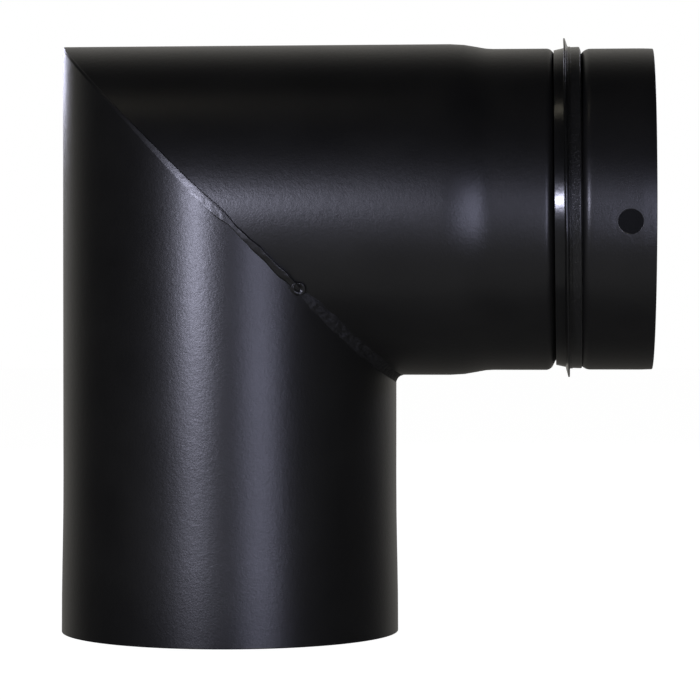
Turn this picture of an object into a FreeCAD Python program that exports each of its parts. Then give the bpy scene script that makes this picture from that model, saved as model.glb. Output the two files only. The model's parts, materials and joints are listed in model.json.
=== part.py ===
"""Flue elbow, 90 degrees, single mitre, for an 80 mm stove pipe system.

Two legs are rolled from 1.2 mm steel sheet and each closed by a lengthwise weld. They are cut to a
mitre and joined by a weld laid in four runs, with a blob of weld metal where two runs meet. The plain
leg stands on its open rim and slips over the spigot of the pipe below. The spigot leg is
swaged down, has a rolled groove that holds a silicone lip seal, and ends in a nose with one
small round hole.

Frame: millimetres. The origin is the centre of the plain leg's open rim, +Z runs up the plain leg
and +X runs out along the spigot leg. The two leg axes cross at CROSSING.
"""

import FreeCAD
import Part

import math
import os

from FreeCAD import Vector

# Whole elbow
LEG_LENGTH = 105.0  # from the crossing of the axes to each open end
WALL = 1.2
PLAIN_RADIUS = 41.6  # outside of the plain leg
SPIGOT_LEG_RADIUS = 41.0  # outside of the spigot leg, before it is swaged

# Plain leg: the mouth is pressed out a little, so that a spigot starts easily
MOUTH_RADIUS = 42.05
MOUTH_LENGTH = 9.0
MOUTH_TAPER_LENGTH = 21.0
MOUTH_BEND_RADIUS = 60.0

# Spigot leg, as distances from the crossing of the axes
SPIGOT_RADIUS = 39.75
SHOULDER_START = 58.6
SHOULDER_END = 64.0
SHOULDER_START_BEND = 30.0
SHOULDER_END_BEND = 16.0
NOSE_RADIUS = 39.65
NOSE_TIP_INSET = 0.08
NOSE_TIP_LENGTH = 3.0
NOSE_TIP_BEND = 30.0

# Rolled seal groove
GROOVE_CENTRE = 84.05
GROOVE_FLOOR_WIDTH = 6.2
GROOVE_DEPTH = 2.6
GROOVE_WALL_RUN = 1.22  # how far each sloping wall runs along the axis
GROOVE_INNER_LIP_BEND = 1.4  # bend radii at mid-wall; the inner lip is the one nearer the mitre
GROOVE_NOSE_LIP_BEND = 2.2
GROOVE_FLOOR_BEND = 1.2

# Lip seal: a foot on the groove's floor, a sloped flank, a fin that stands up and a flat land
SEAL_FOOT_WIDTH = 4.8
SEAL_FOOT_HEIGHT = 1.2
SEAL_FOOT_FLARE = 0.4
SEAL_FLANK_START = -3.05  # along the axis, from the groove's centre
SEAL_FLANK_RISE = 0.53
SEAL_FLANK_TOP_DROP = 0.33  # below the outside of the spigot
SEAL_FIN_START = -0.62
SEAL_FIN_LEAN = 0.28
SEAL_FIN_RADIUS = 41.95
SEAL_FIN_TIP_WIDTH = 0.36
SEAL_LAND_START = 0.4
SEAL_LAND_END = 3.25
SEAL_LAND_RADIUS = 39.8
SEAL_SIDE_END = 3.65
SEAL_SIDE_DROP = 1.1
SEAL_CORNER = 0.3
SEAL_LIFT = 0.4  # the crown sits this much above centre
SEAL_OVERLAP = 0.05  # of the crown and the foot below it

# Small round hole through the nose
HOLE_RADIUS = 2.95
HOLE_DISTANCE = 98.8
HOLE_DROP_DEG = 6.4  # below the horizontal, on the -Y side

# Welds
SEAM_WIDTH = 2.0
PLAIN_SEAM_DEG = 160.0  # round each leg's axis, from -Y, so both seams are at the back
SPIGOT_SEAM_DEG = 190.0
ROOT_HEIGHT = 0.3  # how far the mitre weld's root stands into the flue
# name: (from degree, to degree round the mitre, half width, half height). 0 is the heel, 90 the
# front on the -Y side, 180 the throat.
WELD_RUNS = {
    "heel_weld_run": (-92.0, 97.0, 1.4, 0.95),
    "front_weld_run": (97.0, 118.5, 1.5, 1.35),
    "throat_weld_run": (118.5, 252.0, 1.9, 1.45),
    "back_weld_run": (252.0, 268.0, 1.5, 1.35),
}
BLOB_DEG = 118.5  # where the front run meets the throat run
BLOB_RADIUS = 1.8

BIG = 400.0  # larger than the elbow, for cutting shapes

CROSSING = Vector(0, 0, LEG_LENGTH)
UP = Vector(0, 0, 1)
ALONG = Vector(1, 0, 0)
FRONT = Vector(0, -1, 0)
HEELWARD = Vector(-PLAIN_RADIUS, 0, SPIGOT_LEG_RADIUS).normalize()
MITRE_NORMAL = Vector(SPIGOT_LEG_RADIUS, 0, PLAIN_RADIUS).normalize()


def unit(a, b):
    """Unit vector from 2D point a to 2D point b."""
    length = math.hypot(b[0] - a[0], b[1] - a[1])
    return (b[0] - a[0]) / length, (b[1] - a[1]) / length


def offset_corners(corners, distance):
    """Moves a polyline of (axial, radius, bend) sideways, keeping it parallel to itself.

    A bend's centre stays where it is, so its radius grows or shrinks with the offset."""
    moved = []
    for i, (x, r, bend) in enumerate(corners):
        before = unit(corners[i - 1], corners[i]) if i else None
        after = unit(corners[i], corners[i + 1]) if i + 1 < len(corners) else None
        before, after = before or after, after or before
        across = (-before[1] - after[1], before[0] + after[0])
        scale = distance / (1 + before[0] * after[0] + before[1] * after[1])
        turn = before[0] * after[1] - before[1] * after[0]
        new_bend = bend - math.copysign(distance, turn) if bend else 0.0
        moved.append((x + across[0] * scale, r + across[1] * scale, new_bend))
    return moved


def outline(corners, origin, axial, radial, closed=False):
    """Edges through 2D corners (axial, radius, bend), with an arc wherever a bend is given."""

    def place(point):
        return origin + axial * point[0] + radial * point[1]

    edges = []
    count = len(corners)
    starts = []
    ends = []
    for i, corner in enumerate(corners):
        inner = closed or 0 < i < count - 1
        if not (inner and corner[2]):
            starts.append(corner[:2])
            ends.append(corner[:2])
            continue
        back = unit(corner, corners[i - 1])
        on = unit(corner, corners[(i + 1) % count])
        half = math.acos(max(-1.0, min(1.0, back[0] * on[0] + back[1] * on[1]))) / 2
        reach = corner[2] / math.tan(half)
        enter = (corner[0] + back[0] * reach, corner[1] + back[1] * reach)
        leave = (corner[0] + on[0] * reach, corner[1] + on[1] * reach)
        inward = unit((0, 0), (back[0] + on[0], back[1] + on[1]))
        sag = corner[2] / math.sin(half) - corner[2]
        middle = (corner[0] + inward[0] * sag, corner[1] + inward[1] * sag)
        starts.append(enter)
        ends.append(leave)
        edges.append((i, Part.Arc(place(enter), place(middle), place(leave)).toShape()))
    lines = []
    for i in range(count if closed else count - 1):
        a, b = place(ends[i]), place(starts[(i + 1) % count])
        if a.distanceToPoint(b) > 1e-6:
            lines.append((i + 0.5, Part.LineSegment(a, b).toShape()))
    return [edge for _, edge in sorted(edges + lines, key=lambda pair: pair[0])]


def sheet_section(mid_corners, origin, axial, radial):
    """Face between the two sides of a sheet whose mid-wall line has these corners."""
    outer = outline(offset_corners(mid_corners, WALL / 2), origin, axial, radial)
    inner = outline(offset_corners(mid_corners, -WALL / 2), origin, axial, radial)
    first_cap = Part.LineSegment(outer[0].Vertexes[0].Point, inner[0].Vertexes[0].Point)
    last_cap = Part.LineSegment(outer[-1].Vertexes[-1].Point, inner[-1].Vertexes[-1].Point)
    edges = outer + inner + [first_cap.toShape(), last_cap.toShape()]
    return Part.Face(Part.Wire(Part.__sortEdges__(edges)))


def mid(outer_radius):
    """Mid-wall radius of a tube with this outside radius."""
    return outer_radius - WALL / 2


def plain_leg_corners():
    """Mid-wall line of the plain leg, as (distance from the crossing, radius, bend)."""
    taper_start = LEG_LENGTH - MOUTH_LENGTH - MOUTH_TAPER_LENGTH
    return [
        (-PLAIN_RADIUS - WALL, mid(PLAIN_RADIUS), 0),
        (taper_start, mid(PLAIN_RADIUS), MOUTH_BEND_RADIUS),
        (LEG_LENGTH - MOUTH_LENGTH, mid(MOUTH_RADIUS), MOUTH_BEND_RADIUS),
        (LEG_LENGTH, mid(MOUTH_RADIUS), 0),
    ]


def groove_corners():
    """Mid-wall line of the rolled groove."""
    half_floor = GROOVE_FLOOR_WIDTH / 2
    half_mouth = half_floor + GROOVE_WALL_RUN
    floor = mid(SPIGOT_RADIUS) - GROOVE_DEPTH
    return [
        (GROOVE_CENTRE - half_mouth, mid(SPIGOT_RADIUS), GROOVE_INNER_LIP_BEND),
        (GROOVE_CENTRE - half_floor, floor, GROOVE_FLOOR_BEND),
        (GROOVE_CENTRE + half_floor, floor, GROOVE_FLOOR_BEND),
        (GROOVE_CENTRE + half_mouth, mid(NOSE_RADIUS), GROOVE_NOSE_LIP_BEND),
    ]


def spigot_leg_corners():
    """Mid-wall line of the spigot leg."""
    tip_start = LEG_LENGTH - NOSE_TIP_LENGTH
    return [
        (-SPIGOT_LEG_RADIUS - WALL, mid(SPIGOT_LEG_RADIUS), 0),
        (SHOULDER_START, mid(SPIGOT_LEG_RADIUS), SHOULDER_START_BEND),
        (SHOULDER_END, mid(SPIGOT_RADIUS), SHOULDER_END_BEND),
        *groove_corners(),
        (tip_start, mid(NOSE_RADIUS), NOSE_TIP_BEND),
        (LEG_LENGTH, mid(NOSE_RADIUS) - NOSE_TIP_INSET, 0),
    ]


def leg_and_seam(corners, axial, outer_radius, seam_deg):
    """The rolled sheet of one leg, open along its seam, and the seam weld that closes it."""
    section = sheet_section(corners, CROSSING, axial, FRONT)
    seam_angle = math.degrees(SEAM_WIDTH / outer_radius)
    section.rotate(CROSSING, axial, seam_deg - seam_angle / 2)
    seam = section.revolve(CROSSING, axial, seam_angle)
    section.rotate(CROSSING, axial, seam_angle)
    sheet = section.revolve(CROSSING, axial, 360 - seam_angle)
    return sheet, seam


def half_space(normal):
    """A block that fills the side of the mitre plane that normal points to."""
    block = Part.makeBox(BIG, BIG, BIG, Vector(-BIG / 2, -BIG / 2, 0))
    turn = FreeCAD.Rotation(UP, normal)
    block.Placement = FreeCAD.Placement(CROSSING, turn)
    return block


def mitre_point(degrees):
    """Point on the mid-wall line of the mitre, counted from the heel round the front."""
    angle = math.radians(degrees)
    heel_reach = math.hypot(mid(PLAIN_RADIUS), mid(SPIGOT_LEG_RADIUS))
    side_reach = (mid(PLAIN_RADIUS) + mid(SPIGOT_LEG_RADIUS)) / 2
    return CROSSING + HEELWARD * heel_reach * math.cos(angle) + FRONT * side_reach * math.sin(angle)


def weld_bead(start_deg, end_deg, half_width, half_height):
    """One run of weld: an oval section swept along its stretch of the mitre."""
    major = mitre_point(0)
    minor = mitre_point(90)
    ellipse = Part.Ellipse(major, minor, CROSSING)
    path = Part.ArcOfEllipse(ellipse, math.radians(start_deg), math.radians(end_deg)).toShape()
    start = path.valueAt(path.FirstParameter)
    tangent = path.tangentAt(path.FirstParameter)
    outward = tangent.cross(MITRE_NORMAL).normalize()
    section = Part.Ellipse(start + MITRE_NORMAL * half_width, start + outward * half_height, start)
    profile = Part.Wire(section.toShape())
    return Part.Wire(path).makePipeShell([profile], True, True)


def weld_blob():
    """The blob of weld metal where the front run and the throat run meet."""
    centre = mitre_point(BLOB_DEG)
    outward = (centre - CROSSING).normalize()
    return Part.makeSphere(BLOB_RADIUS, centre + outward * WALL / 2)


def flue_void():
    """The space inside both legs that the mitre weld's root may not fill."""
    plain = Part.makeCylinder(
        PLAIN_RADIUS - WALL - ROOT_HEIGHT, BIG, CROSSING - UP * BIG / 2, UP
    )
    spigot = Part.makeCylinder(
        SPIGOT_LEG_RADIUS - WALL - ROOT_HEIGHT, BIG, CROSSING - ALONG * BIG / 2, ALONG
    )
    return plain.common(half_space(-MITRE_NORMAL)).fuse(spigot.common(half_space(MITRE_NORMAL)))


def nose_hole():
    """Drill for the hole in the nose."""
    drop = math.radians(HOLE_DROP_DEG)
    direction = Vector(0, -math.cos(drop), -math.sin(drop))
    start = CROSSING + ALONG * HOLE_DISTANCE
    return Part.makeCylinder(HOLE_RADIUS, 2 * SPIGOT_LEG_RADIUS, start, direction)


def seal_foot():
    """The part of the seal that sits on the groove's floor, centred on the leg."""
    floor = SPIGOT_RADIUS - GROOVE_DEPTH
    half = SEAL_FOOT_WIDTH / 2
    corners = [
        (-half, floor, 0),
        (-half - SEAL_FOOT_FLARE, floor + SEAL_FOOT_HEIGHT, 0),
        (half + SEAL_FOOT_FLARE, floor + SEAL_FOOT_HEIGHT, 0),
        (half, floor, 0),
    ]
    return [(GROOVE_CENTRE + x, r, bend) for x, r, bend in corners]


def seal_crown():
    """The part of the seal that shows: a sloped flank, a fin and a flat land beside it."""
    bottom = SPIGOT_RADIUS - GROOVE_DEPTH + SEAL_LIFT + SEAL_OVERLAP
    flank_top = SPIGOT_RADIUS - SEAL_FLANK_TOP_DROP
    fin_tip = SEAL_FIN_START + SEAL_FIN_LEAN
    half = SEAL_FOOT_WIDTH / 2
    corners = [
        (-half, bottom, 0),
        (SEAL_FLANK_START, flank_top - SEAL_FLANK_RISE - SEAL_CORNER, 0),
        (SEAL_FLANK_START, flank_top - SEAL_FLANK_RISE, 0),
        (SEAL_FIN_START, flank_top, 0),
        (fin_tip, SEAL_FIN_RADIUS, 0),
        (fin_tip + SEAL_FIN_TIP_WIDTH, SEAL_FIN_RADIUS, 0),
        (SEAL_LAND_START, SEAL_LAND_RADIUS, SEAL_CORNER),
        (SEAL_LAND_END, SEAL_LAND_RADIUS, SEAL_CORNER),
        (SEAL_SIDE_END, SPIGOT_RADIUS - SEAL_SIDE_DROP, SEAL_CORNER),
        (half, bottom, 0),
    ]
    return [(GROOVE_CENTRE + x, r, bend) for x, r, bend in corners]


def seal_ring():
    """Silicone ring in the groove. Its crown rides a little high, as fitted by hand."""

    def ring(corners, centre):
        section = Part.Face(Part.Wire(outline(corners, centre, ALONG, FRONT, closed=True)))
        return section.revolve(centre, ALONG, 360)

    return ring(seal_foot(), CROSSING).fuse(ring(seal_crown(), CROSSING + UP * SEAL_LIFT))


def build():
    """Every piece of the elbow by node name."""
    plain, plain_seam = leg_and_seam(plain_leg_corners(), -UP, PLAIN_RADIUS, PLAIN_SEAM_DEG)
    spigot, spigot_seam = leg_and_seam(
        spigot_leg_corners(), ALONG, SPIGOT_LEG_RADIUS, SPIGOT_SEAM_DEG
    )
    plain_side = half_space(-MITRE_NORMAL)
    spigot_side = half_space(MITRE_NORMAL)
    void = flue_void()
    blob = weld_blob().cut(void)
    welds = {name: weld_bead(*run).cut([void, blob]) for name, run in WELD_RUNS.items()}
    welds["weld_junction_blob"] = blob

    pieces = {
        "plain_leg_tube": plain.common(plain_side),
        "plain_leg_seam_weld": plain_seam.common(plain_side),
        "spigot_leg_tube": spigot.common(spigot_side).cut(nose_hole()),
        "spigot_leg_seam_weld": spigot_seam.common(spigot_side),
    }
    pieces = {name: sheet.cut(list(welds.values())) for name, sheet in pieces.items()}
    pieces.update(welds)
    pieces["seal_ring"] = seal_ring()
    return pieces


def main():
    os.makedirs("parts", exist_ok=True)
    for name, shape in build().items():
        solids = shape.Solids
        print(f"{name}: {len(solids)} solid(s), {shape.Volume:.1f} mm3, valid {shape.isValid()}")
        kept = solids[0] if len(solids) == 1 else Part.makeCompound(solids)
        kept.exportStep(f"parts/{name}.step")


main()
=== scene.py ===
"""Flue elbow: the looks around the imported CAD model.

Both legs, the seams, the mitre weld and the seal are rebuilt as fine meshes on the CAD sizes.
Sizes are in metres; MM turns a number of millimetres into metres. Round the mitre and round both
legs, the same angle is used: 0 at the heel, 90 degrees at the front (-Y), 180 at the throat.
"""

import json
import math

import bmesh
import bpy
import numpy as np
from mathutils import Matrix, Vector, noise


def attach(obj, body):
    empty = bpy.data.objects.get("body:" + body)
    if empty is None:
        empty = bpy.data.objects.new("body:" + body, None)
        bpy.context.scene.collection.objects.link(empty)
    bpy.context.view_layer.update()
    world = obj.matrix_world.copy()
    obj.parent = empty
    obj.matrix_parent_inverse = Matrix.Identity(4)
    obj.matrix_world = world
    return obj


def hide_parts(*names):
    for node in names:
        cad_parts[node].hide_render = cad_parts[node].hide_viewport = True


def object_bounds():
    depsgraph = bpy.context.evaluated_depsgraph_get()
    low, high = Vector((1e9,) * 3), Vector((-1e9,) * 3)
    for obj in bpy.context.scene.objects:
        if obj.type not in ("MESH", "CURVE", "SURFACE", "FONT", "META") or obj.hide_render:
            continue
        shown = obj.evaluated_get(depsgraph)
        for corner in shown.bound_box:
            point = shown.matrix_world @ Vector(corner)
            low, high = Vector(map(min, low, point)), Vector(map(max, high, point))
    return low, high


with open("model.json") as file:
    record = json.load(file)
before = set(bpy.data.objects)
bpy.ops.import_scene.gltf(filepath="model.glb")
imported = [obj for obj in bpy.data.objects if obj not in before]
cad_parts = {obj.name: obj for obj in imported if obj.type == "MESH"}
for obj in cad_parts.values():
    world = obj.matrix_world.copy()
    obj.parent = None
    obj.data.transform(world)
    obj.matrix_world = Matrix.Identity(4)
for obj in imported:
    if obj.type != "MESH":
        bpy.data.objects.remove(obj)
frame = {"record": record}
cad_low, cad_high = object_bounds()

MM = 0.001
MOUNTS = {mount["name"]: mount for mount in frame["record"]["mounts"]}

# Sizes shared with the CAD model
WALL = 1.2 * MM
PLAIN_RADIUS = 41.6 * MM
SPIGOT_LEG_RADIUS = 41.0 * MM
SPIGOT_RADIUS = 39.75 * MM
MOUTH_RADIUS = MOUNTS["socket_mouth"]["dims"]["r_mm"] * MM + WALL
NOSE_RADIUS = MOUNTS["spigot_nose"]["dims"]["r_mm"] * MM
CROSSING = Vector(MOUNTS["spigot_nose"]["pos_m"])
CROSSING.x = 0.0
LEG_LENGTH = CROSSING.z  # both legs are this long, from the crossing of their axes to their ends
MOUTH_LENGTH = 9 * MM
MOUTH_TAPER_LENGTH = 21 * MM
MOUTH_BEND = 800 * MM  # softer than in the CAD model, so that the taper shows no line
SHOULDER_START = 58.6 * MM
SHOULDER_END = 64.0 * MM
SHOULDER_START_BEND = 30 * MM
SHOULDER_END_BEND = 16 * MM
NOSE_TIP_LENGTH = 3.0 * MM
NOSE_TIP_INSET = 0.08 * MM
NOSE_TIP_BEND = 30 * MM
GROOVE_CENTRE = 84.05 * MM
GROOVE_DEPTH = 2.6 * MM
GROOVE_HALF_FLOOR = 3.1 * MM
GROOVE_HALF_MOUTH = 4.32 * MM
GROOVE_INNER_LIP_BEND = 1.4 * MM
GROOVE_FLOOR_BEND = 1.2 * MM
GROOVE_NOSE_LIP_BEND = 2.2 * MM
HOLE_RADIUS = MOUNTS["nose_hole"]["dims"]["r_mm"] * MM
HOLE_DISTANCE = MOUNTS["nose_hole"]["pos_m"][0]
SEAM_WIDTH = 2.0 * MM
PLAIN_SEAM_ANGLE = math.radians(-70)
SPIGOT_SEAM_ANGLE = math.radians(-80)
SEAL_LIFT = 0.4 * MM  # how much higher than the groove's centre the crown rides
SEAL_ASKEW = 0.35  # in mm, how far the crown sits towards the mitre at the top of the ring
FIN_LEAN = 0.3  # in mm, how far the fin leans the same way there
FIN_HEIGHT = 2.2 * MM

# Fineness of the meshes
TUBE_COLUMNS = 432
SEAM_COLUMNS = 12
FREE_ROWS = 44  # rows between the mitre and the shaped end of a leg
ROW_STEP = 1.1 * MM
END_SHARE = 0.0006  # an extra row or column this close to an end keeps its edge crisp
EDGE_ROUNDING = 0.18 * MM
EDGE_STEPS = 4
HOLE_ROUNDING = 0.12 * MM
RING_MIXES = (0.2, 0.42, 0.62, 0.8, 0.93, 1.0)  # from the grid round the nose hole to its circle
BEND_STEP = math.radians(9)
SAME_PLACE = 1e-7  # points closer than this are one
PLAIN_LINE_START = 62 * MM  # both lines start where a leg is still straight
SPIGOT_LINE_START = 48 * MM
WELD_STEP = 0.32  # degrees
SEAL_COLUMNS = 540
SEAL_STEP = 0.35 * MM

# The mitre plane, by its normal and by the direction from the crossing to the heel
HEELWARD = Vector((-PLAIN_RADIUS, 0, SPIGOT_LEG_RADIUS)).normalized()
MITRE_NORMAL = Vector((SPIGOT_LEG_RADIUS, 0, PLAIN_RADIUS)).normalized()
MITRE_REACH = math.hypot(PLAIN_RADIUS, SPIGOT_LEG_RADIUS)


# ---------------------------------------------------------------- mesh helpers


def make_piece(name, vertices, faces, material):
    """A smooth-shaded piece that stands for the CAD node of the same name."""
    mesh = bpy.data.meshes.new(name)
    mesh.from_pydata([tuple(v) for v in vertices], [], faces)
    mesh.update()
    tidy = bmesh.new()
    tidy.from_mesh(mesh)
    bmesh.ops.recalc_face_normals(tidy, faces=tidy.faces)
    tidy.to_mesh(mesh)
    tidy.free()
    mesh.polygons.foreach_set("use_smooth", [True] * len(mesh.polygons))
    mesh.materials.append(material)
    piece = bpy.data.objects.new(name, mesh)
    bpy.context.scene.collection.objects.link(piece)
    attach(piece, "root")
    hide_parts(name)
    return piece


def grid_faces(columns, rows, wrap_columns, wrap_rows, skip=()):
    """Quads of a grid stored column by column. skip holds (column, row) pairs to leave out."""
    faces = []
    for i in range(columns if wrap_columns else columns - 1):
        here = i * rows
        there = ((i + 1) % columns) * rows
        for k in range(rows if wrap_rows else rows - 1):
            if (i, k) in skip:
                continue
            after = (k + 1) % rows
            faces.append((here + k, there + k, there + after, here + after))
    return faces


def crisp_ends(first, last, count):
    """Evenly spaced values, with one more close to each end."""
    values = np.linspace(first, last, count)
    near = (last - first) * END_SHARE / 10
    return np.concatenate([[first, first + near], values[1:-1], [last - near, last]])


def wave(x, y, z, size, seed=0.0):
    """Smooth noise from -1 to 1 with features of the given size."""
    return noise.noise(Vector((x / size + seed, y / size - seed, z / size + 3.7 * seed)))


def heading_unit(a, b):
    """Unit vector from 2D point a to 2D point b."""
    length = math.hypot(b[0] - a[0], b[1] - a[1])
    return (b[0] - a[0]) / length, (b[1] - a[1]) / length


def bent_line(corners, step, closed=False):
    """Points (axial, radius) and outward unit normals along corners (axial, radius, bend)."""
    points, normals = [], []
    count = len(corners)

    def straight(a, b):
        along = heading_unit(a, b)
        pieces = max(1, math.ceil(math.dist(a, b) / step))
        for i in range(pieces + 1):
            f = i / pieces
            points.append((a[0] + (b[0] - a[0]) * f, a[1] + (b[1] - a[1]) * f))
            normals.append((-along[1], along[0]))

    def trimmed(i):
        """Where the line enters and leaves the bend at corner i."""
        x, r, bend = corners[i]
        if not bend:
            return (x, r), (x, r), 0.0
        into = heading_unit(corners[i - 1], corners[i])
        out = heading_unit(corners[i], corners[(i + 1) % count])
        turn = math.atan2(into[0] * out[1] - into[1] * out[0], into[0] * out[0] + into[1] * out[1])
        reach = bend * abs(math.tan(turn / 2))
        enter = (x - into[0] * reach, r - into[1] * reach)
        leave = (x + out[0] * reach, r + out[1] * reach)
        return enter, leave, turn

    for i in range(count if closed else count - 1):
        following = (i + 1) % count
        start = trimmed(i)[1]
        enter, _, turn = trimmed(following)
        straight(start, enter)
        if turn:
            bend = corners[following][2]
            along = heading_unit(corners[i], corners[following])
            side = math.copysign(1.0, turn)
            centre = (enter[0] - along[1] * bend * side, enter[1] + along[0] * bend * side)
            first = math.atan2(along[1], along[0])
            steps = max(2, math.ceil(abs(turn) / BEND_STEP))
            for k in range(1, steps):
                heading = first + turn * k / steps
                normal = (-math.sin(heading), math.cos(heading))
                points.append((centre[0] - normal[0] * bend * side, centre[1] - normal[1] * bend * side))
                normals.append(normal)
    kept = [0]
    for i in range(1, len(points)):
        if math.dist(points[i], points[kept[-1]]) > SAME_PLACE:
            kept.append(i)
    if closed and math.dist(points[kept[0]], points[kept[-1]]) < SAME_PLACE:
        kept.pop()
    return np.array(points)[kept], np.array(normals)[kept]


# ---------------------------------------------------------------- the two legs


def plain_point(angle, distance, radius):
    """Point of the plain leg, at a distance down from the crossing."""
    return np.stack(
        np.broadcast_arrays(-radius * np.cos(angle), -radius * np.sin(angle), CROSSING.z - distance), -1
    )


def spigot_point(angle, distance, radius):
    """Point of the spigot leg, at a distance out from the crossing."""
    return np.stack(
        np.broadcast_arrays(distance, -radius * np.sin(angle), CROSSING.z + radius * np.cos(angle)), -1
    )


def plain_limit(angle, radius, gap):
    """How far along the plain leg a generator line comes within gap of the mitre plane."""
    return (gap - MITRE_NORMAL.x * radius * np.cos(angle)) / MITRE_NORMAL.z


def spigot_limit(angle, radius, gap):
    """How far along the spigot leg a generator line comes within gap of the mitre plane."""
    return (gap - MITRE_NORMAL.z * radius * np.cos(angle)) / MITRE_NORMAL.x


def mid(radius):
    """Mid-wall radius of a tube with this outside radius."""
    return radius - WALL / 2


def plain_line():
    """Mid-wall line of the shaped end of the plain leg."""
    mouth = LEG_LENGTH - MOUTH_LENGTH
    return bent_line(
        [
            (PLAIN_LINE_START, mid(PLAIN_RADIUS), 0),
            (mouth - MOUTH_TAPER_LENGTH, mid(PLAIN_RADIUS), MOUTH_BEND),
            (mouth, mid(MOUTH_RADIUS), MOUTH_BEND),
            (LEG_LENGTH - 2 * EDGE_ROUNDING, mid(MOUTH_RADIUS), 0),
        ],
        ROW_STEP,
    )


def spigot_line():
    """Mid-wall line of the shaped end of the spigot leg."""
    floor = mid(SPIGOT_RADIUS) - GROOVE_DEPTH
    tip = mid(NOSE_RADIUS) - NOSE_TIP_INSET
    return bent_line(
        [
            (SPIGOT_LINE_START, mid(SPIGOT_LEG_RADIUS), 0),
            (SHOULDER_START, mid(SPIGOT_LEG_RADIUS), SHOULDER_START_BEND),
            (SHOULDER_END, mid(SPIGOT_RADIUS), SHOULDER_END_BEND),
            (GROOVE_CENTRE - GROOVE_HALF_MOUTH, mid(SPIGOT_RADIUS), GROOVE_INNER_LIP_BEND),
            (GROOVE_CENTRE - GROOVE_HALF_FLOOR, floor, GROOVE_FLOOR_BEND),
            (GROOVE_CENTRE + GROOVE_HALF_FLOOR, floor, GROOVE_FLOOR_BEND),
            (GROOVE_CENTRE + GROOVE_HALF_MOUTH, mid(NOSE_RADIUS), GROOVE_NOSE_LIP_BEND),
            (LEG_LENGTH - NOSE_TIP_LENGTH, mid(NOSE_RADIUS), NOSE_TIP_BEND),
            (LEG_LENGTH - 2 * EDGE_ROUNDING, tip, 0),
        ],
        ROW_STEP,
    )


def rim_points(end, normal):
    """Points (axial, radius) round the sheet's cut edge, from its outside to its inside."""
    along = np.array([normal[1], -normal[0]])
    end = np.array(end)
    half = WALL / 2 - EDGE_ROUNDING
    points = [end + np.array(normal) * WALL / 2 + along * EDGE_ROUNDING * 0.5]
    for side, first in ((1, 90), (-1, 0)):
        for k in range(EDGE_STEPS + 1):
            angle = math.radians(first - 90 * k / EDGE_STEPS)
            offset = np.array(normal) * (half * side + EDGE_ROUNDING * math.sin(angle))
            points.append(end + offset + along * EDGE_ROUNDING * (1 + math.cos(angle)))
    points.append(end - np.array(normal) * WALL / 2 + along * EDGE_ROUNDING * 0.5)
    return points


def sheet_piece(name, line, place, limit, angles, gap, relief, paints, hole=None):
    """One strip of rolled sheet between two angles, from the mitre to the leg's open end."""
    points, normals = line
    outer = points + normals * WALL / 2
    inner = points - normals * WALL / 2
    rim = np.array(rim_points(points[-1], normals[-1]))
    mix = np.concatenate([[0, END_SHARE], np.linspace(0, 1, FREE_ROWS - 1, endpoint=False)[1:]])
    outer_start = limit(angles, outer[0, 1], gap(angles))[:, None]
    inner_start = limit(angles, inner[0, 1], gap(angles))[:, None]
    columns = len(angles)

    def tiled(values):
        return np.tile(values, (columns, 1))

    distance = np.concatenate(
        [
            outer_start + (outer[0, 0] - outer_start) * mix,
            tiled(outer[:, 0]),
            tiled(rim[:, 0]),
            tiled(inner[::-1, 0]),
            (inner_start + (inner[0, 0] - inner_start) * mix)[:, ::-1],
        ],
        axis=1,
    )
    radius = np.concatenate(
        [
            tiled(np.full(FREE_ROWS, outer[0, 1])),
            tiled(outer[:, 1]),
            tiled(rim[:, 1]),
            tiled(inner[::-1, 1]),
            tiled(np.full(FREE_ROWS, inner[0, 1])),
        ],
        axis=1,
    )
    radius = radius + relief(angles[:, None], distance, radius)
    rows = radius.shape[1]
    vertices = list(place(angles[:, None], distance, radius).reshape(-1, 3))
    skip = set()
    patch = []
    if hole:
        skip, patch = hole(vertices, angles, line, rows)
    faces = grid_faces(columns, rows, False, True, skip) + patch
    side = FREE_ROWS + len(outer)
    for base in (0, (columns - 1) * rows):
        for k in range(side - 1):
            faces.append((base + k, base + k + 1, base + rows - 2 - k, base + rows - 1 - k))
        faces.append(tuple(range(base + side - 1, base + rows - side + 1)))
    piece = make_piece(name, vertices, faces, paints[0])
    piece.data.materials.append(paints[1])
    along = Vector((0, 0, -1)) if place is plain_point else Vector((1, 0, 0))
    for polygon in piece.data.polygons:
        inward = CROSSING - polygon.center
        inward -= along * inward.dot(along)
        if polygon.normal.dot(inward) > 0:
            polygon.material_index = 1


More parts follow.
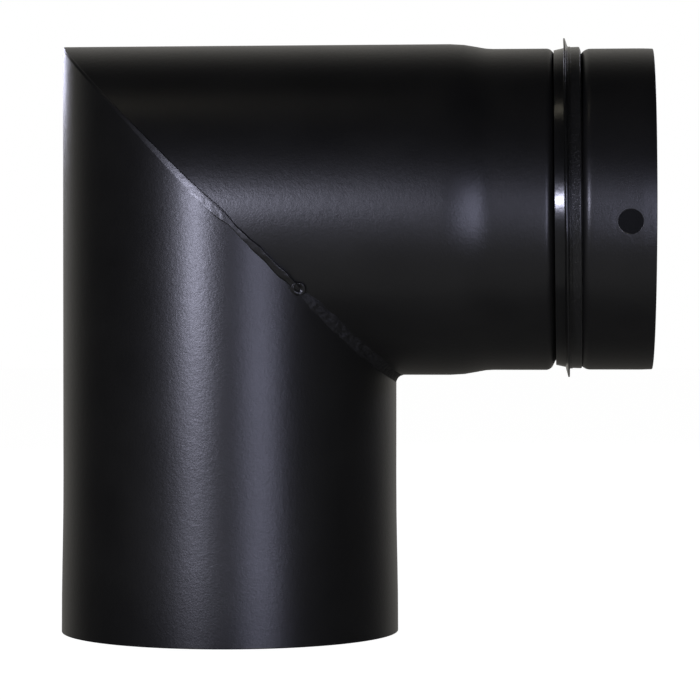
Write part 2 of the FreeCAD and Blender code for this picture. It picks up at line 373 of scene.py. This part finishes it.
def nose_hole(vertices, angles, line, rows):
    """Opens the round hole in the nose: a ring of quads between the grid and the hole."""
    points, normals = line
    hole_y, hole_z = MOUNTS["nose_hole"]["pos_m"][1:]
    hole_angle = math.atan2(-hole_y, hole_z - CROSSING.z)
    room = 1.6 * HOLE_RADIUS
    i0 = int(np.searchsorted(angles, hole_angle - room / NOSE_RADIUS))
    i1 = int(np.searchsorted(angles, hole_angle + room / NOSE_RADIUS))
    k0 = FREE_ROWS + int(np.searchsorted(points[:, 0], HOLE_DISTANCE - room))
    k1 = FREE_ROWS + int(np.searchsorted(points[:, 0], HOLE_DISTANCE + room))
    border = [(i, k0) for i in range(i0, i1)] + [(i1, k) for k in range(k0, k1)]
    border += [(i, k1) for i in range(i1, i0, -1)] + [(i0, k) for k in range(k1, k0, -1)]
    nose = points[:, 0] > GROOVE_CENTRE + GROOVE_HALF_MOUTH

    def on_sheet(distance, angle, height):
        r = np.interp(distance, points[nose, 0], points[nose, 1])
        tilt = np.interp(distance, points[nose, 0], normals[nose, 0])
        return spigot_point(np.array(angle), distance + tilt * height, r + height)

    def ring(height, spread, mix):
        """Vertices at a height over mid-wall; mix goes from 0, the grid's border, to 1, a circle."""
        made = []
        for i, k in border:
            across = (angles[i] - hole_angle) * NOSE_RADIUS
            along = points[k - FREE_ROWS, 0] - HOLE_DISTANCE
            turn = math.atan2(across, along)
            circle_along = (HOLE_RADIUS + spread) * math.cos(turn)
            circle_angle = math.asin((HOLE_RADIUS + spread) * math.sin(turn) / NOSE_RADIUS)
            at = HOLE_DISTANCE + along + (circle_along - along) * mix
            angle = angles[i] + (hole_angle + circle_angle - angles[i]) * mix
            made.append(len(vertices))
            vertices.append(on_sheet(at, angle, height))
        return made

    edge = HOLE_ROUNDING
    rings = [[i * rows + k for i, k in border]]
    rings += [ring(WALL / 2, edge, mix) for mix in RING_MIXES]
    for side in (1, -1):
        steps = range(1, EDGE_STEPS + 1) if side > 0 else range(EDGE_STEPS, 0, -1)
        for k in steps:
            bend = math.radians(90 * k / EDGE_STEPS)
            height = side * (WALL / 2 - edge * (1 - math.cos(bend)))
            rings.append(ring(height, edge * (1 - math.sin(bend)), 1.0))
    rings += [ring(-WALL / 2, edge, mix) for mix in reversed(RING_MIXES)]
    rings.append([i * rows + rows - 1 - k for i, k in border])
    patch = []
    for a, b in zip(rings, rings[1:]):
        for j in range(len(border)):
            after = (j + 1) % len(border)
            patch.append((a[j], a[after], b[after], b[j]))
    skip = {(i, k) for i in range(i0, i1) for k in range(k0, k1)}
    skip |= {(i, rows - 2 - k) for i, k in skip}
    return skip, patch


def build_legs(paint, seam_paint, inside_paint):
    """Both rolled tubes, each open along its seam, and the seam that closes it."""

    def out_of_round(angle, distance, radius):
        """The sheet is rolled and swaged by machine, but never quite true."""
        swell = np.cos(2 * angle + 0.6) * 0.5 + np.cos(3 * angle - 1.1) * 0.3
        return 0.025 * MM * swell * np.sin(distance / (31 * MM) + 0.8)

    def seam_relief(angle_of_seam):
        def relief(angle, distance, radius):
            across = np.clip(np.abs(angle - angle_of_seam) / (SEAM_WIDTH / 2 / radius), 0, 1)
            outside = np.where(np.arange(radius.shape[1]) < radius.shape[1] // 2, 1.0, -0.6)
            ripple = np.cos(distance / (0.55 * MM) * 2 * np.pi - 2.2 * across**2)
            crown = (1 - across**2) ** 0.5
            return outside * crown * (0.05 + 0.02 * ripple) * MM + out_of_round(angle, distance, radius)

        return relief

    legs = (
        ("plain_leg", plain_line(), plain_point, plain_limit, PLAIN_SEAM_ANGLE, PLAIN_RADIUS, None),
        ("spigot_leg", spigot_line(), spigot_point, spigot_limit, SPIGOT_SEAM_ANGLE,
         SPIGOT_LEG_RADIUS, nose_hole),
    )
    for leg, line, place, limit, seam, radius, hole in legs:
        half = SEAM_WIDTH / 2 / radius
        gap = plain_cover if leg == "plain_leg" else spigot_cover
        around = crisp_ends(seam + half, seam + 2 * math.pi - half, TUBE_COLUMNS)
        sheet_piece(
            leg + "_tube", line, place, limit, around, gap, out_of_round, (paint, inside_paint),
            hole,
        )
        across = crisp_ends(seam - half, seam + half, SEAM_COLUMNS)
        sheet_piece(
            leg + "_seam_weld", fine_line(line), place, limit, across, gap, seam_relief(seam),
            (seam_paint, inside_paint),
        )


def fine_line(line):
    """The same line with more points, so that the seam's ripples show."""
    points, normals = line
    run = np.concatenate([[0], np.cumsum(np.linalg.norm(np.diff(points, axis=0), axis=1))])
    places = np.union1d(run, np.arange(0, run[-1], 0.18 * MM))
    finer = np.stack([np.interp(places, run, points[:, i]) for i in (0, 1)], -1)
    slopes = np.stack([np.interp(places, run, normals[:, i]) for i in (0, 1)], -1)
    return finer, slopes / np.linalg.norm(slopes, axis=1)[:, None]


# ---------------------------------------------------------------- the mitre weld

# How the weld is at angles from the heel, in degrees, the same on either side of the elbow. In mm:
# its width on the plain leg and on the spigot leg, its crown, how lumpy it is, how much its edges
# wander, and how deep the undercuts along its plain and spigot edges are. Then as plain shares: how
# far the section leans up towards the spigot leg, and how level its base runs, where 0 follows the
# corner between the legs.
WELD_STATIONS = (
    # angle, plain, spigot, crown, lumps, wander, low cut, high cut, lean, flat
    (0, 0.45, 0.45, 0.03, 0.01, 0.03, 0.0, 0.0, 0.0, 0.0),
    (45, 0.45, 0.45, 0.03, 0.01, 0.03, 0.0, 0.0, 0.0, 0.0),
    (60, 0.65, 0.35, 0.02, 0.01, 0.04, 0.0, 0.0, 0.0, 0.9),
    (68, 0.95, 0.45, 0.015, 0.004, 0.05, 0.0, 0.0, 0.0, 1.0),
    (75, 1.2, 0.55, 0.015, 0.008, 0.08, 0.0, 0.0, 0.0, 1.0),
    (84, 1.5, 0.75, 0.015, 0.014, 0.12, 0.0, 0.0, 0.0, 1.0),
    (88.5, 1.7, 1.0, 0.02, 0.02, 0.15, 0.04, 0.0, 0.0, 1.0),
    (92.5, 1.4, 1.3, 0.03, 0.05, 0.2, 0.1, 0.04, 0.0, 1.0),
    (96, 0.6, 0.9, 0.03, 0.03, 0.08, 0.1, 0.0, 0.5, 0.8),
    (97.2, 0.6, 0.8, 0.05, 0.03, 0.08, 0.1, 0.0, 1.0, 0.8),
    (100, 0.85, 1.0, 0.2, 0.04, 0.2, 0.12, 0.0, 1.0, 0.9),
    (106, 1.1, 1.3, 0.5, 0.1, 0.4, 0.14, 0.0, 0.8, 1.0),
    (114, 1.05, 1.25, 0.5, 0.1, 0.36, 0.14, 0.0, 0.8, 1.0),
    (118, 0.9, 1.0, 0.35, 0.05, 0.15, 0.1, 0.0, 0.8, 0.8),
    (120.5, 0.9, 0.9, 0.15, 0.06, 0.1, 0.05, 0.0, 0.0, 0.0),
    (124, 1.4, 1.4, 0.34, 0.24, 0.4, 0.05, 0.05, 0.0, 0.0),
    (140, 1.55, 1.4, 0.38, 0.26, 0.45, 0.04, 0.06, 0.0, 0.0),
    (158, 1.5, 1.45, 0.38, 0.26, 0.45, 0.04, 0.06, 0.0, 0.0),
    (163, 1.2, 1.2, 0.26, 0.12, 0.2, 0.03, 0.03, 0.0, 0.0),
    (180, 1.3, 1.3, 0.22, 0.08, 0.12, 0.0, 0.0, 0.0, 0.0),
)
WELD_RUNS = {
    "heel_weld_run": (-92.0, 97.0),
    "front_weld_run": (97.0, 118.5),
    "throat_weld_run": (118.5, 252.0),
    "back_weld_run": (252.0, 268.0),
}
BLOB_ANGLE = math.radians(119.1)
CRATER_RADIUS = 2.25  # in mm
COVER = 0.1 * MM  # how far each sheet reaches under the weld's edge
PLAIN_WIDTH, SPIGOT_WIDTH, WANDER, LEAN = 1, 2, 5, 8  # columns of WELD_STATIONS
KNEE_SHARE = 0.97  # a flat run keeps to the wider leg's level over this much of its width
LEAN_KNEE_SHIFT = 0.12  # a leaning bead drops this much sooner
KNEE_RISE = 0.54 * MM  # and then drops this far to the narrower leg
CROWN_POINTS = 33
ROOT_POINTS = 9


def weld_value(angle, column):
    """A column of WELD_STATIONS at this angle, in metres or as a plain share."""
    away = np.degrees(np.arccos(np.cos(angle)))
    stations = np.array(WELD_STATIONS)
    values = np.interp(away, stations[:, 0], stations[:, column])
    return values if column >= LEAN else values * MM


def plain_cover(angle):
    """The plain leg's sheet stops this far from the mitre plane, just under the weld's edge."""
    return weld_value(angle, PLAIN_WIDTH) - weld_value(angle, WANDER) - COVER


def spigot_cover(angle):
    """The same for the spigot leg's sheet."""
    return weld_value(angle, SPIGOT_WIDTH) - weld_value(angle, WANDER) - COVER


def weld_section(angle):
    """Points of the weld's section at an angle round the mitre, crown first and then root."""
    values = [float(weld_value(angle, column)) for column in range(1, len(WELD_STATIONS[0]))]
    plain_width, spigot_width, crown, lumps, wander, low_cut, high_cut, lean, flat = values
    outward = mitre_outward(angle)
    place = mitre_point(angle)
    plain_width += wander * wave(*place, 3.6 * MM, 1.3)
    spigot_width += wander * wave(*place, 2.9 * MM, 7.7)

    def sheet_edges(thickness):
        """Both sheets where the weld ends, and the middle of their crossing."""
        plain_r, spigot_r = PLAIN_RADIUS - thickness, SPIGOT_LEG_RADIUS - thickness
        plain = plain_point(angle, plain_limit(angle, plain_r, plain_width), plain_r)
        spigot = spigot_point(angle, spigot_limit(angle, spigot_r, spigot_width), spigot_r)
        crossing = plain_point(angle, plain_limit(angle, plain_r, 0), plain_r)
        crossing = crossing + spigot_point(angle, spigot_limit(angle, spigot_r, 0), spigot_r)
        return Vector(plain), Vector(spigot), Vector(crossing / 2)

    def curve(ends, t):
        """The weld's base at a share t of its width: rounded, or level and then a drop."""
        start, finish, middle = ends
        rounded = start * (1 - t) ** 2 + middle * 2 * t * (1 - t) + finish * t**2
        share = KNEE_SHARE - LEAN_KNEE_SHIFT * lean
        knee = start.lerp(finish, share) + outward * KNEE_RISE
        level = start.lerp(knee, min(t / share, 1))
        level = level.lerp(finish, max((t - share) / (1 - share), 0))
        return rounded.lerp(level, flat)

    points = []
    ends = sheet_edges(0)
    for k in range(CROWN_POINTS):
        across = -math.cos(math.pi * k / (CROWN_POINTS - 1))
        base = curve(ends, (across + 1) / 2)
        even = 1 - abs(across) ** 2.6
        ramp = (0.5 + 0.5 * across) * (1 - across**8)
        height = crown * (even * (1 - lean) + ramp * lean)
        height -= low_cut * math.exp(-(((across + 0.8) / 0.13) ** 2))
        height -= high_cut * math.exp(-(((across - 0.85) / 0.1) ** 2))
        rough = wave(*base, 1.5 * MM, 5.1) + 0.6 * wave(*base, 0.7 * MM, 8.9)
        height += lumps * rough * even
        toe = 0.015 * MM * abs(across) ** 6
        points.append(base + outward * (height - toe))
    ends = sheet_edges(WALL)
    for k in range(ROOT_POINTS):
        across = math.cos(math.pi * k / (ROOT_POINTS - 1))
        base = curve(ends, (across + 1) / 2)
        droop = 0.22 * MM * (1 - across**2) * (1 + 0.5 * wave(*base, 2 * MM, 2.2))
        points.append(base - outward * droop)
    return points


def mitre_point(angle):
    """Point on the outside of the mitre."""
    side = (PLAIN_RADIUS + SPIGOT_LEG_RADIUS) / 2
    return CROSSING + HEELWARD * MITRE_REACH * math.cos(angle) + Vector((0, -side * math.sin(angle), 0))


def mitre_outward(angle):
    """Unit vector in the mitre plane, square to the weld."""
    side = (PLAIN_RADIUS + SPIGOT_LEG_RADIUS) / 2
    straight = HEELWARD * side * math.cos(angle)
    return (straight + Vector((0, -MITRE_REACH * math.sin(angle), 0))).normalized()


def build_weld(ground_paint, bead_paint, rough_paint):
    """Four runs of weld round the mitre, each a closed ribbon, and the crater where two meet."""
    paints = {"heel_weld_run": ground_paint, "throat_weld_run": rough_paint}
    for name, (first, last) in WELD_RUNS.items():
        angles = np.radians(crisp_ends(first, last, math.ceil((last - first) / WELD_STEP)))
        columns = len(angles)
        vertices = [point for angle in angles for point in weld_section(angle)]
        rows = CROWN_POINTS + ROOT_POINTS
        faces = grid_faces(columns, rows, False, True)
        faces.append(tuple(range(rows)))
        faces.append(tuple(range((columns - 1) * rows, columns * rows)))
        make_piece(name, vertices, faces, paints.get(name, bead_paint))
    build_blob(bead_paint)


def hump(u, v, centre_u, centre_v, wide, long):
    """A smooth bump of height 1 on a flat surface; u runs across the weld and v along it."""
    return math.exp(-(((u - centre_u) / wide) ** 2) - ((v - centre_v) / long) ** 2)


def build_blob(paint):
    """The end crater of the front run: an uneven rim round a pit."""
    centre = mitre_point(BLOB_ANGLE)
    outward = mitre_outward(BLOB_ANGLE)
    across = MITRE_NORMAL
    along = outward.cross(across)
    rings, spokes = 22, 60
    vertices = []

    def height(u, v, share):
        """Height in mm over the tubes, for a place in mm and its share of the way to the rim."""
        rim = math.hypot((u - 0.35) / 1.1, v / 1.3)
        crater = 0.42 * math.exp(-(((rim - 1.1) / 0.6) ** 2)) - 0.25 * math.exp(-((rim / 0.4) ** 2))
        notch = 0.25 * hump(u, v, 0.9, 0.9, 0.4, 0.5)
        sink = 1.1 * max(0.0, share - 0.78) / 0.22
        return 0.55 + crater - notch - sink

    for j in range(spokes):
        turn = 2 * math.pi * j / spokes
        for i in range(1, rings + 1):
            share = i / rings
            reach = CRATER_RADIUS * share * (1 + 0.13 * math.cos(2 * turn + 1.5) + 0.05 * math.cos(5 * turn))
            u, v = reach * math.cos(turn), reach * math.sin(turn)
            spot = centre + (across * u + along * v) * MM
            uneven = 0.05 * wave(*spot, 0.7 * MM, 4.4)
            vertices.append(spot + outward * (height(u, v, share) + uneven) * MM)
        vertices.append(centre - outward * MM + (vertices[-1] - centre) * 0.4)
    rows = rings + 1
    top = len(vertices)
    vertices.append(centre + outward * height(0, 0, 0) * MM)
    vertices.append(centre - outward * MM)
    faces = grid_faces(spokes, rows, True, False)
    for j in range(spokes):
        after = (j + 1) % spokes
        faces.append((top, j * rows, after * rows))
        faces.append((top + 1, after * rows + rows - 1, j * rows + rows - 1))
    make_piece("weld_junction_blob", vertices, faces, paint)


# ---------------------------------------------------------------- the lip seal


def seal_corners():
    """Section of the seal: foot, sloped flank, fin, flat land with a fine step."""
    floor = SPIGOT_RADIUS - GROOVE_DEPTH
    top = SPIGOT_RADIUS
    outline = (
        (-2.3, floor + 0.02 * MM, 0.2),
        (-2.95, top - 1.15 * MM, 0.25),
        (-3.05, top - 0.86 * MM, 0.1),
        (-0.62, top - 0.33 * MM, 0.12),
        (-0.34, top + FIN_HEIGHT, 0.12),
        (0.02, top + 2.15 * MM, 0.12),
        (0.4, top + 0.02 * MM, 0.25),
        (1.0, top + 0.05 * MM, 0.1),
        (1.1, top - 0.08 * MM, 0.1),
        (3.25, top - 0.02 * MM, 0.35),
        (3.65, top - 1.1 * MM, 0.3),
        (2.4, floor + 0.02 * MM, 0.2),
    )
    return [(GROOVE_CENTRE + x * MM, r, bend * MM) for x, r, bend in outline]


def build_seal(silicone):
    """The ring, with its crown riding high and its fin a little wavy."""
    section, _ = bent_line(seal_corners(), SEAL_STEP, closed=True)
    floor = SPIGOT_RADIUS - GROOVE_DEPTH
    vertices = []
    for j in range(SEAL_COLUMNS):
        angle = 2 * math.pi * j / SEAL_COLUMNS
        spin = Vector((0, -math.sin(angle), math.cos(angle)))
        slow = wave(spin.y, spin.z, 0, 0.45, 2.0)
        quick = wave(spin.y, spin.z, 0, 0.09, 6.0)
        for x, r in section:
            share = min(1.0, max(0.0, (r - floor) / (1.2 * MM)))
            fin = min(1.0, max(0.0, (r - SPIGOT_RADIUS) / FIN_HEIGHT))
            lifted = r + SEAL_LIFT * share * math.cos(angle) - 0.03 * MM * fin * (1 + quick)
            askew = -SEAL_ASKEW * MM * share * math.cos(angle)
            lean = (0.1 * slow + 0.05 * quick - FIN_LEAN * math.cos(angle)) * MM * fin + askew
            vertices.append(Vector((x + lean, 0, CROSSING.z)) + spin * lifted)
    faces = grid_faces(SEAL_COLUMNS, len(section), True, True)
    make_piece("seal_ring", vertices, faces, silicone)


# ---------------------------------------------------------------- materials


class Nodes:
    """Short names for adding shader nodes to one material."""

    def __init__(self, name):
        self.material = bpy.data.materials.new(name)
        self.material.use_nodes = True
        self.tree = self.material.node_tree
        self.shader = self.tree.nodes["Principled BSDF"]
        self.place = self.add("ShaderNodeTexCoord").outputs["Object"]

    def add(self, kind, **settings):
        node = self.tree.nodes.new(kind)
        for key, value in settings.items():
            setattr(node, key, value)
        return node

    def link(self, source, target):
        self.tree.links.new(source, target)

    def noise(self, size, detail=2.0, roughness=0.5):
        """Noise from 0 to 1 with features of the given size in metres."""
        node = self.add("ShaderNodeTexNoise")
        node.inputs["Scale"].default_value = 1 / size
        node.inputs["Detail"].default_value = detail
        node.inputs["Roughness"].default_value = roughness
        self.link(self.place, node.inputs["Vector"])
        return node.outputs["Fac"]

    def spread(self, source, low, high, from_low=0.0, from_high=1.0):
        """Maps a value to the range low..high."""
        node = self.add("ShaderNodeMapRange")
        for key, value in zip(("From Min", "From Max", "To Min", "To Max"), (from_low, from_high, low, high)):
            node.inputs[key].default_value = value
        self.link(source, node.inputs["Value"])
        return node.outputs["Result"]

    def colour(self, source, dark, light):
        """Blends two colours by a value."""
        node = self.add("ShaderNodeMix", data_type="RGBA")
        node.inputs["A"].default_value = (*dark, 1)
        node.inputs["B"].default_value = (*light, 1)
        self.link(source, node.inputs["Factor"])
        self.link(node.outputs["Result"], self.shader.inputs["Base Color"])

    def sum(self, a, b, share):
        """a plus b times share."""
        node = self.add("ShaderNodeMath", operation="MULTIPLY_ADD")
        node.inputs[1].default_value = share
        self.link(b, node.inputs[0])
        self.link(a, node.inputs[2])
        return node.outputs["Value"]

    def bump(self, height, depth):
        """Surface relief of the given depth in metres."""
        node = self.add("ShaderNodeBump")
        node.inputs["Strength"].default_value = 1.0
        node.inputs["Distance"].default_value = depth
        self.link(height, node.inputs["Height"])
        self.link(node.outputs["Normal"], self.shader.inputs["Normal"])


def stove_paint(name, grain_size, grain_depth, roughness, shine=0.5):
    """Satin black stove paint: fine grain, faint mottling, a few duller clouds."""
    nodes = Nodes(name)
    grain = nodes.noise(grain_size, detail=3.0, roughness=0.6)
    speck = nodes.noise(3 * grain_size, detail=1.0)
    cloud = nodes.noise(14 * MM, detail=3.0)
    nodes.colour(nodes.spread(cloud, 0, 1, 0.3, 0.7), (0.0032, 0.0031, 0.003), (0.0046, 0.0045, 0.0042))
    mottled = nodes.sum(grain, cloud, 0.5)
    nodes.link(nodes.spread(mottled, *roughness, 0.45, 1.05), nodes.shader.inputs["Roughness"])
    nodes.bump(nodes.sum(grain, speck, 0.8), grain_depth)
    nodes.shader.inputs["Specular IOR Level"].default_value = shine
    return nodes.material


def glossy_silicone():
    """Glossy black silicone, with dust and fine scratches on the flat land behind the fin."""
    nodes = Nodes("black_silicone")
    split = nodes.add("ShaderNodeSeparateXYZ")
    nodes.link(nodes.place, split.inputs["Vector"])
    fin = GROOVE_CENTRE - 0.1 * MM
    land = nodes.spread(split.outputs["X"], 0, 1, fin, fin + 0.5 * MM)
    dust = nodes.noise(0.3 * MM, detail=4.0, roughness=0.75)
    fine = nodes.noise(2.2 * MM, detail=2.0)
    specks = nodes.add("ShaderNodeMath", operation="MULTIPLY")
    nodes.link(land, specks.inputs[0])
    nodes.link(nodes.spread(dust, 0, 1, 0.52, 0.72), specks.inputs[1])
    nodes.colour(specks.outputs["Value"], (0.004, 0.004, 0.0038), (0.03, 0.0295, 0.028))
    dulled = nodes.spread(nodes.sum(land, dust, 0.4), 0.21, 0.27, 0.15, 1.3)
    nodes.link(dulled, nodes.shader.inputs["Roughness"])
    nodes.bump(nodes.sum(fine, nodes.sum(specks.outputs["Value"], dust, 0.2), 0.35), 0.024 * MM)
    nodes.shader.inputs["Specular IOR Level"].default_value = 0.45
    return nodes.material


def pale_floor():
    """Even, pale studio floor. It glows, so that it stays pale all over."""
    nodes = Nodes("pale_floor")
    nodes.shader.inputs["Base Color"].default_value = (0.2, 0.2, 0.2, 1)
    nodes.shader.inputs["Roughness"].default_value = 0.9
    nodes.shader.inputs["Specular IOR Level"].default_value = 0.0
    nodes.shader.inputs["Emission Color"].default_value = (1, 1, 1, 1)
    nodes.shader.inputs["Emission Strength"].default_value = 0.98
    return nodes.material


# ---------------------------------------------------------------- studio

AIM = Vector((0.02, 0.0, 0.09))
REAR_DISTANCE = 0.9
REAR_ELEVATION = 18  # degrees
GLOW_TURN = math.radians(-7)  # the glowing wall behind is not quite straight behind
FLOOR_RADIUS = 4
FLOOR_SPOKES = 96
CAMERA_PLACE = CROSSING + Vector((82.685, -689.236, -27.825)) * MM
CAMERA_YAW = math.radians(4.366)
CAMERA_PITCH = math.radians(-0.582)
CAMERA_LENS = 142.45
CAMERA_SENSOR = 36


def direction(azimuth, elevation):
    """Unit vector from the object; azimuth 0 is the front (-Y), positive towards +X."""
    a, e = math.radians(azimuth), math.radians(elevation)
    return Vector((math.sin(a) * math.cos(e), -math.cos(a) * math.cos(e), math.sin(e)))


def lamp(name, place, facing, width, height, watts, colour):
    """A rectangular light, unseen by the camera itself."""
    light = bpy.data.lights.new(name, "AREA")
    light.shape = "RECTANGLE"
    light.size = width
    light.size_y = height
    light.energy = watts
    light.color = colour
    holder = bpy.data.objects.new(name, light)
    holder.location = place
    holder.rotation_euler = facing.to_track_quat("-Z", "Y").to_euler()
    holder.visible_camera = False
    bpy.context.scene.collection.objects.link(holder)


def build_lights():
    """A small strong lamp on the left, a softbox on the right, and weak ones for the other sides."""
    cool = (0.91, 0.92, 1.18)
    bluer = (0.89, 0.91, 1.25)
    warm = (1.08, 1.0, 0.8)
    ahead = Vector((0, 1, 0))
    lamp("lamp_left", CROSSING + Vector((-0.176, -0.6, 0.032)), ahead, 0.05, 0.05, 1.7, cool)
    lamp("softbox_right", CROSSING + Vector((0.303, -0.6, -0.034)), ahead, 0.25, 0.3, 1.18, bluer)
    overhead = CROSSING + Vector((-0.213, -0.252, 0.843))
    glint = (CROSSING + Vector((0.082, -0.032, 0.022)) - overhead).normalized()
    lamp("strip_overhead", overhead, glint, 0.04, 0.15, 0.08, warm)
    lamp("bounce_front", Vector((0, -0.3, 0.004)), Vector((0, 0, 1)), 0.5, 0.45, 0.12, (1, 1, 1))
    for name, azimuth, watts in (("rear_left", -150, 1.6), ("rear_right", 140, 0.9)):
        away = direction(azimuth, REAR_ELEVATION)
        lamp(name, AIM + away * REAR_DISTANCE, -away, 0.2, 0.35, watts, cool)


def build_world():
    """White to the camera. To the object: a dark room with a glowing wall behind and a grey floor."""
    world = bpy.data.worlds.new("studio")
    world.use_nodes = True
    bpy.context.scene.world = world
    tree = world.node_tree
    nodes = tree.nodes
    room = nodes["Background"]
    white = nodes.new("ShaderNodeBackground")
    white.inputs["Color"].default_value = (1, 1, 1, 1)
    where = nodes.new("ShaderNodeTexCoord")
    turned = nodes.new("ShaderNodeVectorRotate")
    turned.rotation_type = "Z_AXIS"
    turned.inputs["Angle"].default_value = GLOW_TURN
    tree.links.new(where.outputs["Generated"], turned.inputs["Vector"])
    axes = nodes.new("ShaderNodeSeparateXYZ")
    tree.links.new(turned.outputs["Vector"], axes.inputs["Vector"])

    def blend(axis, start, end, first, second):
        """Blends two colours while one axis of the direction goes from start to end."""
        share = nodes.new("ShaderNodeMapRange")
        share.interpolation_type = "SMOOTHSTEP"
        share.inputs["From Min"].default_value = start
        share.inputs["From Max"].default_value = end
        tree.links.new(axes.outputs[axis], share.inputs["Value"])
        mix = nodes.new("ShaderNodeMix")
        mix.data_type = "RGBA"
        tree.links.new(share.outputs["Result"], mix.inputs["Factor"])
        for socket, colour in (("A", first), ("B", second)):
            if isinstance(colour, tuple):
                mix.inputs[socket].default_value = (*colour, 1)
            else:
                tree.links.new(colour, mix.inputs[socket])
        return mix.outputs["Result"]

    wall = blend("Y", 0.35, 1.0, (0.02, 0.02, 0.02), (0.5, 0.485, 0.45))
    ground = blend("Y", 0.35, 1.0, (0.04, 0.04, 0.04), (0.13, 0.125, 0.115))
    tree.links.new(blend("Z", -0.35, 0.1, ground, wall), room.inputs["Color"])
    seen = nodes.new("ShaderNodeLightPath")
    choice = nodes.new("ShaderNodeMixShader")
    tree.links.new(seen.outputs["Is Camera Ray"], choice.inputs["Fac"])
    tree.links.new(room.outputs["Background"], choice.inputs[1])
    tree.links.new(white.outputs["Background"], choice.inputs[2])
    tree.links.new(choice.outputs["Shader"], nodes["World Output"].inputs["Surface"])


def build_floor():
    """A wide round floor at the height that the elbow stands on."""
    mesh = bpy.data.meshes.new("floor")
    turns = [2 * math.pi * i / FLOOR_SPOKES for i in range(FLOOR_SPOKES)]
    rim = [(FLOOR_RADIUS * math.cos(turn), FLOOR_RADIUS * math.sin(turn), cad_low[2]) for turn in turns]
    mesh.from_pydata(rim, [], [tuple(range(FLOOR_SPOKES))])
    mesh.materials.append(pale_floor())
    floor = bpy.data.objects.new("floor", mesh)
    floor.visible_glossy = False
    bpy.context.scene.collection.objects.link(floor)


def build_camera():
    """A long lens at about half the elbow's height, a little to the right."""
    camera = bpy.data.cameras.new("camera")
    camera.sensor_width = CAMERA_SENSOR
    camera.lens = CAMERA_LENS
    viewer = bpy.data.objects.new("camera", camera)
    upright = Matrix.Rotation(math.radians(90) + CAMERA_PITCH, 4, "X")
    turn = Matrix.Rotation(CAMERA_YAW, 4, "Z") @ upright
    viewer.matrix_world = Matrix.Translation(CAMERA_PLACE) @ turn
    bpy.context.scene.collection.objects.link(viewer)
    bpy.context.scene.camera = viewer


def main():
    bpy.context.scene.view_settings.view_transform = "Standard"
    build_camera()
    build_world()
    build_lights()
    build_floor()
    paint = stove_paint("black_stove_paint", 0.45 * MM, 0.025 * MM, (0.31, 0.38))
    inside_paint = stove_paint("dry_overspray", 0.4 * MM, 0.02 * MM, (0.66, 0.8))
    ground_paint = stove_paint("paint_over_ground_weld", 0.35 * MM, 0.024 * MM, (0.28, 0.4), 0.7)
    bead_paint = stove_paint("paint_over_weld_bead", 0.4 * MM, 0.012 * MM, (0.27, 0.36))
    rough_paint = stove_paint("paint_over_rough_weld", 0.45 * MM, 0.06 * MM, (0.5, 0.65), 0.3)
    build_legs(paint, bead_paint, inside_paint)
    build_weld(ground_paint, bead_paint, rough_paint)
    build_seal(glossy_silicone())


main()
